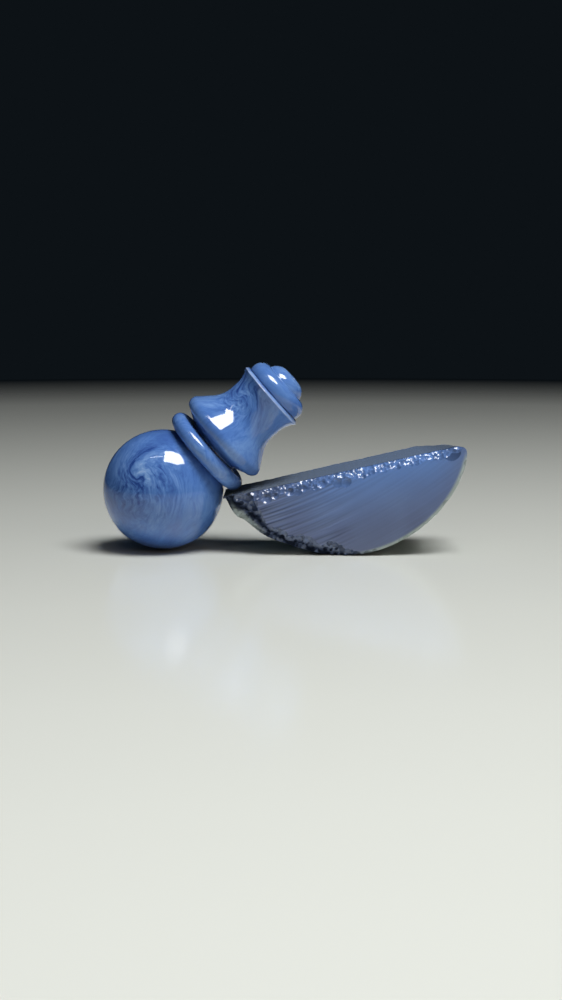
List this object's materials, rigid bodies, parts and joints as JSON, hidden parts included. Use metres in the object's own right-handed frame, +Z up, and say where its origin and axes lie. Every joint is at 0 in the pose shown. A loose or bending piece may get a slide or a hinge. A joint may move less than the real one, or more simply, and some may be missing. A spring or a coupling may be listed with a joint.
{
  "type": "bead and finial set",
  "caption": "Turned bead, dished collar and flared finial with a stepped cap on a hidden tube, leaning on a sawn half-round offcut; all in marbled blue resin, drilled for a string.",
  "frame": {"origin": "on the table, under the middle of the whole set's box", "axes": "+X from the bead to the offcut, the longest way; +Y from the front sawn face to the back, the shortest way; +Z up"},
  "size_m": [0.0593, 0.02, 0.0311],
  "materials": {
    "marbled_resin": "turned and polished, marbled blue",
    "sawn_resin": "sawn, with chipped edges",
    "tube_brass": "drawn"
  },
  "bodies": {
    "bead": {"bead": "marbled_resin"},
    "core": {"core_tube": "tube_brass"},
    "collar": {"collar": "marbled_resin"},
    "finial": {"finial": "marbled_resin"},
    "cap": {"finial_cap": "marbled_resin"},
    "offcut": {"offcut": "sawn_resin"}
  },
  "joints": [
    {"name": "core_pull", "type": "slide", "parent": "bead", "child": "core", "axis": [0.7547, 0, 0.6561], "range_m": [0, 0.008]},
    {"name": "collar_spin", "type": "hinge", "parent": "core", "child": "collar", "pos_m": [-0.01965, 0, 0.01], "axis": [0.7547, 0, 0.6561], "continuous": true},
    {"name": "finial_spin", "type": "hinge", "parent": "core", "child": "finial", "pos_m": [-0.01965, 0, 0.01], "axis": [0.7547, 0, 0.6561], "continuous": true},
    {"name": "cap_lift", "type": "slide", "parent": "finial", "child": "cap", "axis": [0.7547, 0, 0.6561], "range_m": [0, 0.005]},
    {"name": "offcut_slide", "type": "slide", "parent": "bead", "child": "offcut", "axis": [1, 0, 0], "range_m": [0, 0.04]}
  ]
}
